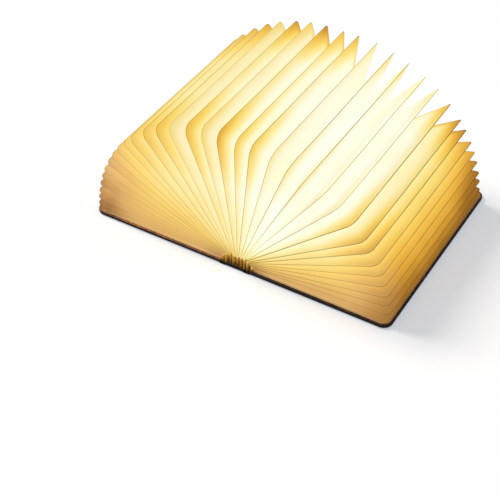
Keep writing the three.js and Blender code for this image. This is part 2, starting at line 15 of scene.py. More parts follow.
import bmesh
import bpy
import numpy as np
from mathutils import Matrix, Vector

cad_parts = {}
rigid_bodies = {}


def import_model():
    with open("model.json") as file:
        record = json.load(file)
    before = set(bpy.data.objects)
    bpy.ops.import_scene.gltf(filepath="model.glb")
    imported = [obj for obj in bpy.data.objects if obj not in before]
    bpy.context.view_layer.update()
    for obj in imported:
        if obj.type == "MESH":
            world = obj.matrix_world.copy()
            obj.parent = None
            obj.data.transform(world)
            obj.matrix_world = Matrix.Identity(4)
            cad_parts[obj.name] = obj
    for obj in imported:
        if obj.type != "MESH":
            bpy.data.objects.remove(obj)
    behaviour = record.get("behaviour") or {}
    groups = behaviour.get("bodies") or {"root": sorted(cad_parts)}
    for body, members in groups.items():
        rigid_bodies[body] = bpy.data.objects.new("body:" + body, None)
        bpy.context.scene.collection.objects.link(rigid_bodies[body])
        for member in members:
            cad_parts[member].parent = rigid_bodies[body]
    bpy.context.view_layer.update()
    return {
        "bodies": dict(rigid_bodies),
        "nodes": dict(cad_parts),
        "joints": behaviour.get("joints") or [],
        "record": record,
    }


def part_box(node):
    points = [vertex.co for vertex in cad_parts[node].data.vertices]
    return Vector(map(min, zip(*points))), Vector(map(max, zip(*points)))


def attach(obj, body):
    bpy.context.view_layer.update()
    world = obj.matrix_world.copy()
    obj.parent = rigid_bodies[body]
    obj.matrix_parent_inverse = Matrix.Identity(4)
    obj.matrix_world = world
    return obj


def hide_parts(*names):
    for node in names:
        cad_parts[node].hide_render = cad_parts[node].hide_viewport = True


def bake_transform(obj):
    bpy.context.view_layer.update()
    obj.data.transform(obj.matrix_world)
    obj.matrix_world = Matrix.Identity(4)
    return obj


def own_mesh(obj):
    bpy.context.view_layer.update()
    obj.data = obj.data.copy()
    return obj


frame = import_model()
nodes = frame["nodes"]
print("pieces of the rigid model:", len(nodes))

# %% [markdown]
# ## Small helpers for node trees
#
# Geometry and shader trees are both lists of nodes and links. Here a node's output is held as a
# wire. Ordinary sums with a wire add Math nodes to its tree, so a tree reads from top to bottom
# like any other sum. An input takes a wire or a plain value.

# %% Wires and sums
def sum_rule(operation):
    return lambda *values: maths(operation, *values)


class Wire:
    """The output of a node. A sum with it is a new Math node, whose output is a wire again."""

    __add__, __sub__, __mul__ = sum_rule("ADD"), sum_rule("SUBTRACT"), sum_rule("MULTIPLY")
    __truediv__, __mod__ = sum_rule("DIVIDE"), sum_rule("MODULO")
    __gt__, __lt__ = sum_rule("GREATER_THAN"), sum_rule("LESS_THAN")
    __abs__, __round__ = sum_rule("ABSOLUTE"), sum_rule("ROUND")

    def __init__(self, socket):
        self.socket = socket

    def __rsub__(self, other):
        return maths("SUBTRACT", other, self)


def plug(socket, value):
    if isinstance(value, Wire):
        socket.id_data.links.new(value.socket, socket)
    else:
        socket.default_value = value


def fill(node, values):
    """Fill a node's inputs from a dict by their names, or from a list in their order."""
    for key, value in values.items() if isinstance(values, dict) else enumerate(values):
        plug(node.inputs[key], value)


def add(tree, kind, values=(), **options):
    node = tree.nodes.new(kind)
    for option, setting in options.items():
        setattr(node, option, setting)
    fill(node, values)
    return node


def wire(tree, kind, values=(), output=0, **options):
    """One output of a new node."""
    return Wire(add(tree, kind, values, **options).outputs[output])


def tree_of(*values):
    return next(value.socket.id_data for value in values if isinstance(value, Wire))


def maths(operation, *values, clamp=False):
    return wire(tree_of(*values), "ShaderNodeMath", values, operation=operation, use_clamp=clamp)


def vector_maths(operation, *values, output=0):
    return wire(tree_of(*values), "ShaderNodeVectorMath", values, output, operation=operation)


def combine(x=0.0, y=0.0, z=0.0):
    return wire(tree_of(x, y, z), "ShaderNodeCombineXYZ", (x, y, z))


def part(vector, axis):
    return wire(tree_of(vector), "ShaderNodeSeparateXYZ", [vector], axis)


print("wires and sums ready")

# %% Mixing, spreading, noise and groups
SOCKET_KINDS = {float: "Float", int: "Int", tuple: "Color", Vector: "Vector", type(None): "Material"}


def mix(kind, factor, first, second, **options):
    node = add(tree_of(factor, first, second), "ShaderNodeMix", data_type=kind, **options)
    in_use = {socket.name: socket for socket in node.inputs if socket.enabled}
    for key, value in (("Factor", factor), ("A", first), ("B", second)):
        plug(in_use[key], value)
    return Wire([socket for socket in node.outputs if socket.enabled][0])


def spread(value, low, high, to_low=0.0, to_high=1.0, **options):
    """Map the range from low to high onto another one."""
    values = {"Value": value, "From Min": low, "From Max": high, "To Min": to_low, "To Max": to_high}
    return wire(tree_of(value), "ShaderNodeMapRange", values, **options)


def smooth(*values):
    return spread(*values, interpolation_type="SMOOTHSTEP")


def noise(place, scale, detail=2.0, distortion=0.0):
    values = {"Vector": place, "Scale": scale, "Detail": detail, "Distortion": distortion}
    return wire(tree_of(place), "ShaderNodeTexNoise", values)


def new_group(name, kind, inputs, outputs):
    """A node group, its inputs as wires, and its end. Inputs are given with their first values."""
    tree = bpy.data.node_groups.new(name, kind)
    for label, value in inputs.items():
        socket = tree.interface.new_socket(label, in_out="INPUT",
                                           socket_type="NodeSocket" + SOCKET_KINDS[type(value)])
        if value is not None:
            socket.default_value = value
    for label, kind_of_output in outputs.items():
        tree.interface.new_socket(label, in_out="OUTPUT", socket_type="NodeSocket" + kind_of_output)
    start = tree.nodes.new("NodeGroupInput").outputs
    return tree, {label: Wire(start[label]) for label in inputs}, tree.nodes.new("NodeGroupOutput")


print("helpers ready")

# %% [markdown]
# ## The camera
#
# The camera stands in front of the tail of the book, to the right of its spine, and looks down
# by about 42 degrees. A long lens keeps the covers nearly parallel. Its place comes from the
# corners of the covers and the tips of the pages, so the picture lines up with the real lamp.

# %% Camera
CAMERA_TARGET = Vector((0.02614, -0.12125, 0.04815))
CAMERA_DISTANCE = 1.0784
CAMERA_FROM = math.radians(30.72 - 90)
CAMERA_HEIGHT = math.radians(42.22)
CAMERA_LENS = 90.83


def new_object(name, data):
    obj = bpy.data.objects.new(name, data)
    bpy.context.scene.collection.objects.link(obj)
    return obj


def turn_to(obj, azimuth, height):
    """Turn an object's +Z to a direction: a turn from +X and an angle over the table."""
    direction = Vector((math.cos(azimuth) * math.cos(height), math.sin(azimuth) * math.cos(height),
                        math.sin(height)))
    obj.rotation_euler = direction.to_track_quat("Z", "Y").to_euler()
    return direction


camera_data = bpy.data.cameras.new("studio_camera")
camera_data.lens = CAMERA_LENS
camera_data.sensor_width = 36
camera = new_object("studio_camera", camera_data)
camera.location = CAMERA_TARGET + turn_to(camera, CAMERA_FROM, CAMERA_HEIGHT) * CAMERA_DISTANCE
bpy.context.scene.camera = camera
bpy.context.scene.view_settings.view_transform = "Standard"
print("camera at", [round(c, 3) for c in camera.location])

# %% [markdown]
# ## Floor and light
#
# A white table and a white room show the paper and the dark leather as they are. The room gives
# a third of the light from all sides, and one large soft lamp on the left adds the rest, so that
# a grey shadow falls to the right. Together they light a level surface at just about full white,
# which keeps each colour at the value that it is written with.
#
# The table's own colour is a pale warm grey, and it adds the part that is missing to white to what
# the camera sees. That part is cooler, which makes up for the warm light of the lamp, so the
# shadow on the table stays soft and grey.

# %% Floor and light
ROOM_LEVEL = 0.37
KEY_LEVEL = 0.65
KEY_FROM = math.radians(181)
KEY_HEIGHT = math.radians(45)
KEY_SOFTNESS = math.radians(24)
FLOOR_HALF = 3.0
TABLE_OWN = (0.605, 0.555, 0.495)


def looked_at(tree):
    """1 for what the camera sees, straight, mirrored or through glass, and 0 for other light."""
    rays = tree.nodes.new("ShaderNodeLightPath").outputs
    seen = Wire(rays["Is Camera Ray"])
    for other in ("Is Glossy Ray", "Is Transmission Ray"):
        seen = maths("MAXIMUM", seen, Wire(rays[other]))
    return seen


world = bpy.data.worlds.new("studio_room")
bpy.context.scene.world = world
world.use_nodes = True
room = world.node_tree
room.nodes.clear()
level = spread(looked_at(room), 0.0, 1.0, ROOM_LEVEL, 1.0)
shine = wire(room, "ShaderNodeBackground", {"Color": (1, 1, 1, 1), "Strength": level})
add(room, "ShaderNodeOutputWorld", {"Surface": shine})

key_data = bpy.data.lights.new("studio_key", "SUN")
key_data.energy = KEY_LEVEL * math.pi / math.sin(KEY_HEIGHT)
key_data.angle = KEY_SOFTNESS
turn_to(new_object("studio_key", key_data), KEY_FROM, KEY_HEIGHT)

floor_mesh = bpy.data.meshes.new("studio_floor")
corners = [(x * FLOOR_HALF, y * FLOOR_HALF, 0) for x, y in ((-1, -1), (1, -1), (1, 1), (-1, 1))]
floor_mesh.from_pydata(corners, [], [(0, 1, 2, 3)])
floor = new_object("studio_floor", floor_mesh)
floor_finish = bpy.data.materials.new("white_table")
floor_finish.use_nodes = True
table = floor_finish.node_tree.nodes["Principled BSDF"]
fill(table, {"Base Color": (*TABLE_OWN, 1), "Roughness": 0.9, "Specular IOR Level": 0.1,
             "Emission Color": (*(1 - own for own in TABLE_OWN), 1),
             "Emission Strength": looked_at(floor_finish.node_tree)})
floor_mesh.materials.append(floor_finish)
print("key light strength", round(key_data.energy, 2))

# %% [markdown]
# ## The rule of the fan
#
# Every page turns about one of two fold lines at the foot of the spine. Closed, the pages stand
# half a millimetre apart. Open, each leans out by its own share of a right angle, more and more
# crowded toward the covers. Half numbers are the valleys between two pleats. The same rule places
# the rigid pleats, so the fine ones made here always fit them.
#
# Real paper never falls quite evenly, so each page also settles by up to a degree and a half.

# %% The rule of the fan
RIGHT_PLEATS = 15
LEFT_PLEATS = 17
# Pleats, how many of them stand wide apart, the share of the fan that these take, and how
# quickly the others crowd.
RIGHT_FAN = (RIGHT_PLEATS, 8, 0.602, 1.15)
LEFT_FAN = (LEFT_PLEATS, 7, 0.519, 1.25)
# How far the pages settle on either side, and how much they differ by turns, in degrees.
RIGHT_SETTLE, LEFT_SETTLE, FLUTTER = 1.3, -0.7, 0.3
FOLD_X = 0.012
FOLD_Z = 0.0015
FORE_MARGIN = 0.001
END_MARGIN = 0.0045
STACK_SLACK = 0.0009
cover_low, cover_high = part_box("back_leather")
lining_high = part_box("back_endpaper")[1].z
PAGE_REACH = cover_high.x - FOLD_X - FORE_MARGIN
PAGE_HALF = cover_high.y - END_MARGIN
STACK_HALF = FOLD_X - (lining_high - FOLD_Z) - STACK_SLACK
STACK_STEP = STACK_HALF * 2 / (RIGHT_PLEATS + LEFT_PLEATS)


def side_of(number):
    return -1 if number < 0 else 1


def fan_share(number):
    """How far a page leans out: 0 for the upright page, 1 at the cover."""
    pleats, wide_pages, wide_share, power = LEFT_FAN if number < 0 else RIGHT_FAN
    wide = min(abs(number), wide_pages)
    crowded = (abs(number) - wide) / (pleats + 1 - wide_pages)
    return wide * wide_share / wide_pages + (1 - wide_share) * (1 - (1 - crowded) ** power)


def lean(number):
    return math.pi / 2 * fan_share(number)


def settle(number):
    """How far a page has settled from its even place, to the left or right."""
    if number != int(number):
        return (settle(math.floor(number)) + settle(math.ceil(number))) / 2
    free = min(1.0, 4.0 * (1 - fan_share(number)))
    if number > RIGHT_PLEATS:
        return 0.0
    drift = RIGHT_SETTLE * math.sin(math.pi * (number - 3) / 9) if number > 0 else LEFT_SETTLE * free
    return math.radians(drift + FLUTTER * math.sin(2.4 * number + 2) * free)


def stack_offset(number):
    middle = (RIGHT_PLEATS - LEFT_PLEATS) / 2
    return (number - middle) * STACK_STEP - side_of(number) * FOLD_X


def turned(x, z, angle):
    return x * math.cos(angle) + z * math.sin(angle), z * math.cos(angle) - x * math.sin(angle)


print("page reach", round(PAGE_REACH, 4), "half", round(PAGE_HALF, 4), "step", round(STACK_STEP, 5))

# %% [markdown]
# ## Lit paper
#
# The lamp shines from inside, so the paper glows: almost white deep in the valleys, near the
# light, and amber along the outer folds, which stand furthest from it. The doubled paper of the
# fold itself shows as a thin dark line. Toward the covers less light comes through and the paper
# turns to plain tan.
#
# This could be left to real translucency and thousands of light bounces. A group that mixes the
# tones from attributes of the mesh (depth below the fold, reach along the page, place in the fan
# from -1 at the front cover to 1 at the back cover) gives the same look without noise, and it can
# be baked. No two pages hold the same amount of amber, so each has a number of its own.

# %% Shader group: lit paper
def mix_colour(factor, first, second, blend="MIX"):
    return mix("RGBA", factor, first, second, blend_type=blend)


def colour_steps(factor, stops):
    ramp = add(tree_of(factor), "ShaderNodeValToRGB", [factor])
    points = ramp.color_ramp.elements
    while len(points) < len(stops):
        points.new(0.5)
    for point, (place, colour) in zip(points, stops):
        point.position = place
        point.color = (*colour, 1)
    return Wire(ramp.outputs[0])


def levels(factor, stops):
    """A plain number that follows stops of (place, level)."""
    return colour_steps(factor, [(place, (level,) * 3) for place, level in stops])


LIGHT_TONES = [(0.80, (1.0, 0.87, 0.44)), (1.0, (1.0, 0.975, 0.84))]
AMBER_TONES = [
    (0.0, (0.24, 0.10, 0.014)),
    (0.15, (0.45, 0.21, 0.025)),
    (0.30, (0.77, 0.42, 0.048)),
    (0.45, (0.94, 0.61, 0.10)),
    (0.60, (0.98, 0.75, 0.20)),
    *LIGHT_TONES,
]
TAN_TONES = [
    (0.0, (0.29, 0.13, 0.045)),
    (0.15, (0.55, 0.30, 0.10)),
    (0.30, (0.75, 0.47, 0.18)),
    (0.45, (0.86, 0.58, 0.19)),
    (0.60, (0.96, 0.72, 0.22)),
    *LIGHT_TONES,
]
VALLEY_LEVELS = [(0.0, 0.385), (0.07, 0.54), (0.15, 0.64), (0.29, 0.86), (0.42, 0.93), (0.60, 0.97),
                 (0.73, 0.98), (0.79, 0.89), (0.86, 0.72), (0.93, 0.55), (1.0, 0.33)]
AMBER_SHARES = [(0.0, 0.3), (0.20, 0.55), (0.30, 0.60), (0.40, 0.95), (0.50, 0.85), (0.60, 0.35),
                (0.72, 0.30), (0.79, 0.90), (0.86, 0.48), (1.0, 0.12)]
FOLD_WIDTHS = [(0.0, 1.0), (0.54, 1.0), (0.62, 0.55), (0.76, 0.55), (0.86, 1.0)]
FOLD_TONE = (0.31, 0.30, 0.22, 1)
ROOT_DROP = 0.16
TIP_DROP = 0.19


def lit_paper_group():
    tree, given, result = new_group(
        "lit_paper", "ShaderNodeTree",
        {"Depth": 0.0, "Reach": 0.5, "Fan": 0.0, "Corner": 0.0, "Page": 0.5, "Position": Vector()},
        {"Colour": "Color", "Height": "Float"})
    depth, reach, fan, corner, page, place = given.values()
    cloud = noise(place, 20.0)
    fibre = noise(place, 900.0, 3.0, 1.5)
    across = fan * 0.5 + 0.5
    away = abs(fan)

    # Brightness: less in a band along the fold that is wider at the corners, at root and tip.
    band = (page * 0.009 + 0.006) * (cloud * 0.8 + 0.6) * (corner * 0.8 + 1.0)
    ridge = smooth(1.0 - maths("DIVIDE", depth, band, clamp=True), 0.0, 1.0)
    drop = (corner * 0.30 + 0.15) * (page * 1.1 + 0.50) * levels(across, AMBER_SHARES) * ridge
    at_root = smooth(reach, 0.02, 0.20, ROOT_DROP, 0.0)
    at_tip = smooth(reach, 0.66, 1.0) * smooth(away, 0.50, 0.95)
    level = levels(across, VALLEY_LEVELS) - drop - at_root - at_tip * TIP_DROP
    level = level + (page * 0.07 - 0.035) + (cloud * 0.16 - 0.08)

    # Where it is darker, the paper is amber near most fore edges and tan elsewhere.
    from_tail = smooth(part(place, "Y"), -0.105, -0.060)
    least = smooth(fan, 0.45, 0.75, 1.0, 0.35)
    at_fore = smooth(reach, 0.70, 0.98) * smooth(fan, -0.7, -0.3) * (from_tail * (1.0 - least) + least)
    tone = mix_colour(at_fore, colour_steps(level, TAN_TONES), colour_steps(level, AMBER_TONES))

    # The thin dark line of painted shade where the doubled paper lets less glow through, and the fibres.
    fold = smooth(depth * levels(across, FOLD_WIDTHS), 0.0004, 0.0013, 1.0, 0.0)
    strength = smooth(fan, -0.2, 0.25, 0.40, 0.95) * (page * 0.4 + 0.7) * smooth(away, 0.6, 1.0, 1.0, 0.55)
    tone = mix_colour(fold * strength, tone, FOLD_TONE, "MULTIPLY")
    tone = mix_colour(1.0, tone, spread(fibre, 0.0, 1.0, 0.955, 1.03), "MULTIPLY")
    fill(result, {"Colour": tone, "Height": fibre})
    return tree


lit_paper = lit_paper_group()
print("lit_paper has", len(lit_paper.nodes), "nodes")

# %% Material: shade paper
PAPER_OWN_SHARE = (0.38, 0.38, 0.38, 1)
PAPER_GLOW = 0.70
PAPER_SHINE = 0.15


def attribute(shader, name):
    return wire(shader.id_data, "ShaderNodeAttribute", output="Fac", attribute_name=name)


def new_finish(name, roughness=0.5, metallic=0.0, specular=0.5):
    """A material, its shader, and the place on the object as a wire."""
    finish = bpy.data.materials.new(name)
    finish.use_nodes = True
    shader = finish.node_tree.nodes["Principled BSDF"]
    fill(shader, {"Roughness": roughness, "Metallic": metallic, "Specular IOR Level": specular})
    return finish, shader, wire(finish.node_tree, "ShaderNodeTexCoord", output="Object")


def from_group(group, place, **values):
    """What a shader group puts out at a place, as wires."""
    node = add(tree_of(place), "ShaderNodeGroup", {"Position": place, **values}, node_tree=group)
    return [Wire(socket) for socket in node.outputs]


def set_glow(shader, colour):
    """Lit paper: a part of its colour answers the room's light, and the glow adds the rest."""
    own = mix_colour(1.0, colour, PAPER_OWN_SHARE, "MULTIPLY")
    fill(shader, {"Base Color": own, "Emission Color": colour, "Emission Strength": PAPER_GLOW})


def set_bump(shader, height, strength, distance):
    values = {"Height": height, "Strength": strength, "Distance": distance}
    fill(shader, {"Normal": wire(tree_of(height), "ShaderNodeBump", values)})


def shade_paper_finish():
    finish, shader, place = new_finish("shade_paper", 0.75, specular=PAPER_SHINE)
    labels = ("Depth", "Reach", "Fan", "Corner", "Page")
    marks = {label: attribute(shader, label.lower()) for label in labels}
    colour, height = from_group(lit_paper, place, **marks)
    set_glow(shader, colour)
    set_bump(shader, height, 0.15, 0.0002)
    return finish


shade_paper = shade_paper_finish()
print("finish:", shade_paper.name)

# %% [markdown]
# ## The pleats
#
# A pleat is two walls of paper that meet in the ridge along the page's outline and end in the
# valleys that they share with the next pleats. Since all of them follow one rule, a Geometry
# Nodes tree makes them: it draws the ridge and the valley as two curves with rounded corners,
# stretches a grid between them, and turns the page open. Its sizes are named inputs.
#
# Bending one long strip would also work, but then no page could turn by itself. The valleys start
# a little higher than the ridges, so that they clear the spine when the book closes.

# %% Helpers for geometry trees
def switch(kind, chooser, when_off, when_on):
    return wire(tree_of(chooser), "GeometryNodeSwitch", [chooser, when_off, when_on], input_type=kind)


def about_y(vector, angle):
    values = {"Vector": vector, "Angle": angle}
    return wire(tree_of(vector), "ShaderNodeVectorRotate", values, rotation_type="Y_AXIS")


def chance_of(seed):
    return wire(tree_of(seed), "ShaderNodeTexWhiteNoise", {"W": seed}, "Value", noise_dimensions="1D")


def store(shape, **values):
    """Keep values on the points of a shape, for its tree or its material to read."""
    for name, value in values.items():
        shape = wire(tree_of(shape), "GeometryNodeStoreNamedAttribute",
                     {"Geometry": shape, "Name": name, "Value": value}, data_type="FLOAT", domain="POINT")
    return shape


def stored(tree, name):
    return wire(tree, "GeometryNodeInputNamedAttribute", {"Name": name}, data_type="FLOAT")


def finish_shape(shape, places, material, result):
    """Move the points to their places and end the tree in a plain mesh with its material."""
    for kind, values in (("SetPosition", {"Position": places}), ("RealizeInstances", {}),
                         ("SetMaterial", {"Material": material})):
        shape = wire(tree_of(shape), "GeometryNode" + kind, {"Geometry": shape, **values})
    fill(result, [shape])


print("geometry helpers ready")

# %% Tree: one pleat
COLUMNS = 17
CORNER_STEPS = 8
RIPPLE_SCALE = 24.0


def outline_curve(tree, tail_root, head_root, reach, half, tail_corner, head_corner):
    """Tail edge, fore edge and head edge of a page in its own plane, with rounded corners."""
    index = wire(tree, "GeometryNodeInputIndex")
    low = half * -1.0
    spots = [combine(0.0, low, tail_root), combine(0.0, low, reach), combine(0.0, half, reach),
             combine(0.0, half, head_root)]
    places = add(tree, "GeometryNodeIndexSwitch", data_type="VECTOR")
    while len(places.index_switch_items) < len(spots):
        places.index_switch_items.new()
    fill(places, [index, *spots])
    line = wire(tree, "GeometryNodeMeshLine", {"Count": len(spots)})
    line = wire(tree, "GeometryNodeSetPosition", {"Geometry": line, "Position": Wire(places.outputs[0])})
    curve = wire(tree, "GeometryNodeMeshToCurve", {"Mesh": line})
    corner = switch("FLOAT", index > 1.5, tail_corner, head_corner)
    curve = wire(tree, "GeometryNodeFilletCurve", {"Curve": curve, "Radius": corner, "Limit Radius": True,
                                                   "Count": CORNER_STEPS}, mode="POLY")
    return wire(tree, "GeometryNodeSubdivideCurve", {"Curve": curve, "Cuts": 2})


def pleat_tree():
    tree, given, result = new_group(
        "pleat", "GeometryNodeTree",
        {"Page Reach": PAGE_REACH, "Page Half": PAGE_HALF, "Pleat Depth": 0.030, "Tail Corner": 0.010,
         "Head Corner": 0.004, "Valley Corner": 0.0015, "Tail Root": 0.0024, "Head Root": 0.0065,
         "Valley Step": 0.0010, "Tip Retreat": 0.006, "Tip Spread": 0.002, "Page Offset": 0.0,
         "Low Offset": 0.0, "Low Turn": 0.0, "Low Shift": Vector(), "High Offset": 0.0,
         "High Turn": 0.0, "High Shift": Vector(), "Valley Gap": 0.00015, "Ripple": 0.0007,
         "Seed": 0.0, "Opened Turn": 0.0, "Fold Line": Vector(), "Fan Share": 0.0,
         "Walls From": -1.0, "Walls To": 1.0, "Paper": None},
        {"Pleat": "Geometry"})
    reach, half, inset = given["Page Reach"], given["Page Half"], given["Pleat Depth"]
    tail_root, head_root, step = given["Tail Root"], given["Head Root"], given["Valley Step"]
    ridge = outline_curve(tree, tail_root, head_root, reach, half,
                          given["Tail Corner"], given["Head Corner"])
    valley = outline_curve(tree, tail_root + step, head_root + step, reach - inset, half - inset,
                           given["Valley Corner"], given["Valley Corner"])

    # A grid whose columns run from valley to ridge to valley, and whose rows follow the outline.
    stations = wire(tree, "GeometryNodeAttributeDomainSize", {"Geometry": ridge}, "Point Count",
                    component="CURVE")
    shape = wire(tree, "GeometryNodeMeshGrid",
                 {"Size X": 2.0, "Size Y": 1.0, "Vertices X": COLUMNS, "Vertices Y": stations})
    here = wire(tree, "GeometryNodeInputPosition")
    shape = store(shape, across=spread(part(here, "X"), -1.0, 1.0, given["Walls From"], given["Walls To"]),
                  station=round((part(here, "Y") + 0.5) * (stations - 1.0)))
    across, row = stored(tree, "across"), stored(tree, "station")
    share = abs(across)

    def point_of(curve):
        found = wire(tree, "GeometryNodeSampleIndex", {"Geometry": curve, "Value": here, "Index": row},
                     data_type="FLOAT_VECTOR")
        y, z = part(found, "Y"), part(found, "Z")
        drift = (y < 0.0) * (given["Tip Retreat"] + given["Tip Spread"]) - given["Tip Retreat"]
        return y * (drift / half * (z / reach) + 1.0), z

    ridge_y, ridge_z = point_of(ridge)
    ridge_point = combine(given["Page Offset"], ridge_y, ridge_z)
    offset, turn, shift = (
        switch(kind, across > 0.0, given["Low " + label], given["High " + label])
        for kind, label in (("FLOAT", "Offset"), ("FLOAT", "Turn"), ("VECTOR", "Shift")))
    valley_point = vector_maths("ADD", about_y(combine(offset, *point_of(valley)), turn), shift)
    inward = maths("SIGN", across) * given["Valley Gap"] * -1.0
    valley_point = vector_maths("ADD", valley_point, combine(inward))
    spot = mix("VECTOR", share, ridge_point, valley_point)
    ripple = noise(combine(given["Seed"], ridge_y, ridge_z), RIPPLE_SCALE, 1.0)
    sway = (ripple - 0.5) * given["Ripple"] * (1.0 - share) * 2.0
    spot = vector_maths("ADD", spot, combine(sway))

    # What the paper's finish reads: depth below the fold, reach, nearness of a corner, and chance.
    depth = share * vector_maths("DISTANCE", ridge_point, valley_point, output="Value")
    at_head = ridge_y > 0.0
    from_corner = maths("MAXIMUM", half - abs(ridge_y), reach - ridge_z)
    corner = smooth(from_corner, 0.006, at_head * 0.022 + 0.034, 1.0, 0.0) * (at_head * 0.4 + 1.0)
    shape = store(shape, depth=depth, reach=part(spot, "Z") / reach, corner=corner,
                  fan=given["Fan Share"], page=chance_of(given["Seed"]))
    opened = vector_maths("ADD", about_y(spot, given["Opened Turn"]), given["Fold Line"])
    finish_shape(shape, opened, given["Paper"], result)
    return tree


pleat_maker = pleat_tree()
print("pleat tree has", len(pleat_maker.nodes), "nodes")

# %% Helpers: run a tree and keep its mesh
PAPER_THICKNESS = 0.00025


def settled_mesh(obj):
    """The object's evaluated mesh as a plain one, with its modifiers gone."""
    graph = bpy.context.evaluated_depsgraph_get()
    mesh = bpy.data.meshes.new_from_object(obj.evaluated_get(graph), preserve_all_data_layers=True,
                                           depsgraph=graph)
    obj.modifiers.clear()
    obj.data = mesh
    return obj


def face_outward(obj):
    shape = bmesh.new()
    shape.from_mesh(obj.data)
    bmesh.ops.recalc_face_normals(shape, faces=shape.faces)
    shape.to_mesh(obj.data)
    shape.free()
    return obj


def new_piece(name, mesh=None):
    return new_object(name, mesh or bpy.data.meshes.new(name))


def grown(name, tree, values):
    """A piece of paper: a sheet made by a tree, with the paper's thickness."""
    obj = new_piece(name)
    modifier = obj.modifiers.new("shape", "NODES")
    modifier.node_group = tree
    sockets = {item.name: item.identifier for item in tree.interface.items_tree
               if item.item_type == "SOCKET" and item.in_out == "INPUT"}
    for label, value in values.items():
        modifier[sockets[label]] = value
    wall = obj.modifiers.new("thickness", "SOLIDIFY")
    wall.thickness = PAPER_THICKNESS
    wall.offset = 0
    wall.use_even_offset = False
    return face_outward(settled_mesh(obj))


print("helpers for trees ready")

# %% [markdown]
# ## Folding the fan
#
# One call of the tree makes each pleat. A pleat rides on its own body, which turns with the
# covers. When the book closes, its two walls have to fold flat. The two ends of the sheet are
# glued to the covers: each is a page that lies flat, with only the wall that rises from it to the
# last valley.

# %% The 33 pleats
CORNER_SOFTNESS = 0.005
CORNER_RISE = 0.006
LEAF_MARGIN = 0.0004
SEED_STEP = 0.37
lining_far, lining_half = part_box("back_endpaper")[1].xy


def pleat_name(number):
    if number == 0:
        return "pleat_upright"
    return f"pleat_{'front' if number < 0 else 'back'}_{abs(number):02d}"


def valley_inputs(number, way):
    """The shared valley on one side of a page, as seen from that page."""
    other = number + way / 2
    own = side_of(number) * lean(number) + settle(number)
    turn = side_of(other) * lean(other) + settle(other) - own
    step = (side_of(other) - side_of(number)) * FOLD_X
    x, z = turned(step, 0.0, -own)
    label = "Low" if way < 0 else "High"
    return {f"{label} Offset": stack_offset(other), f"{label} Turn": turn, f"{label} Shift": (x, 0.0, z)}


def paper_page(number, name, body, **others):
    """A pleat or an end leaf on its body."""
    side = side_of(number)
    values = {
        "Tail Corner": CORNER_SOFTNESS + CORNER_RISE * math.cos(lean(number)) ** 2,
        "Page Offset": stack_offset(number),
        "Opened Turn": side * lean(number) + settle(number),
        "Fold Line": (side * FOLD_X, 0.0, FOLD_Z),
        "Seed": SEED_STEP * number,
        "Fan Share": side * fan_share(number),
        "Paper": shade_paper,
        **others,
    }
    piece = grown("paper_" + name, pleat_maker, values)
    across_x, across_z = turned(1.0, 0.0, side * lean(number))
    offset = stack_offset(number)
    anchor = (side * FOLD_X + across_x * offset, 0.0, FOLD_Z + across_z * offset)
    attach(piece, body)
    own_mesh(piece)
    return piece


def make_pleat(number):
    name = pleat_name(number)
    body = "spine" if number == 0 else name
    piece = paper_page(number, name, body, **valley_inputs(number, -1), **valley_inputs(number, 1))
    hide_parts(name)
    return piece


def make_end_leaf(side, body):
    """The end of the sheet: one wall from the edge of a cover in to the last valley."""
    number = RIGHT_PLEATS + 1 if side > 0 else -LEFT_PLEATS - 1
    sizes = {"Page Reach": lining_far - FOLD_X - LEAF_MARGIN, "Page Half": lining_half - LEAF_MARGIN,
             "Tip Retreat": 0.0, "Tip Spread": 0.0, "Head Corner": CORNER_SOFTNESS, "Ripple": 0.0,
             "Page Offset": -side * (lining_high + PAPER_THICKNESS - FOLD_Z)}
    walls = {"Walls To": 0.0} if side > 0 else {"Walls From": 0.0}
    return paper_page(number, "end_leaf_" + body, body, **sizes, **walls, **valley_inputs(number, -side))


pleats = [make_pleat(number) for number in range(-LEFT_PLEATS, RIGHT_PLEATS + 1)]
end_leaves = [make_end_leaf(1, "back_cover"), make_end_leaf(-1, "front_cover")]
print("pleats:", len(pleats), "end leaves:", len(end_leaves),
      "triangles:", sum(len(p.data.polygons) * 2 for p in pleats + end_leaves))

# %% [markdown]
# ## Embossed leather
#
# The leather is nearly black in its hollows and rubbed to copper bronze where it stands proud, with a
# painted highlight on the most rubbed copper.
# One group holds that effect. It reads how far a point is raised, lets a cloud of wear eat into
# the edge of the copper, and adds the grain of the skin as a height for the bump.

# %% Shader group: worn leather
# From the hollows to the most rubbed copper. The lightest tone is rubbed copper with a painted highlight in
# it.
LEATHER_TONES = [
    (0.0, (0.012, 0.009, 0.006)),
    (0.35, (0.10, 0.042, 0.020)),
    (0.75, (0.42, 0.17, 0.070)),
    (1.0, (0.68, 0.33, 0.16)),
]


def worn_leather_group():
    tree, given, result = new_group(
        "worn_leather", "ShaderNodeTree", {"Raised": 0.0, "Position": Vector()},
        {"Colour": "Color", "Roughness": "Float", "Metallic": "Float", "Height": "Float"})
    place = given["Position"]
    wear = noise(place, 130.0, 5.0)
    crease = noise(place, 520.0, 4.0, 1.2)
    pores = wire(tree, "ShaderNodeTexVoronoi", {"Vector": place, "Scale": 1300.0}, "Distance")
    rubbed = smooth(given["Raised"] + (wear * 0.5 - 0.25), 0.18, 0.84)
    dust = smooth(crease, 0.35, 0.75, 0.72, 1.15)
    colour = mix_colour(1.0, colour_steps(rubbed, LEATHER_TONES), dust, "MULTIPLY")
    fill(result, {"Colour": colour, "Roughness": rubbed * -0.22 + 0.56, "Metallic": rubbed * 0.75,
                  "Height": pores * 0.6 + crease})
    return tree


worn_leather = worn_leather_group()


def cover_leather_finish():
    finish, shader, place = new_finish("cover_leather", specular=0.10)
    skin = from_group(worn_leather, place, Raised=attribute(shader, "raised"))
    fill(shader, dict(zip(("Base Color", "Roughness", "Metallic"), skin)))
    set_bump(shader, skin[-1], 0.45, 0.00015)
    return finish


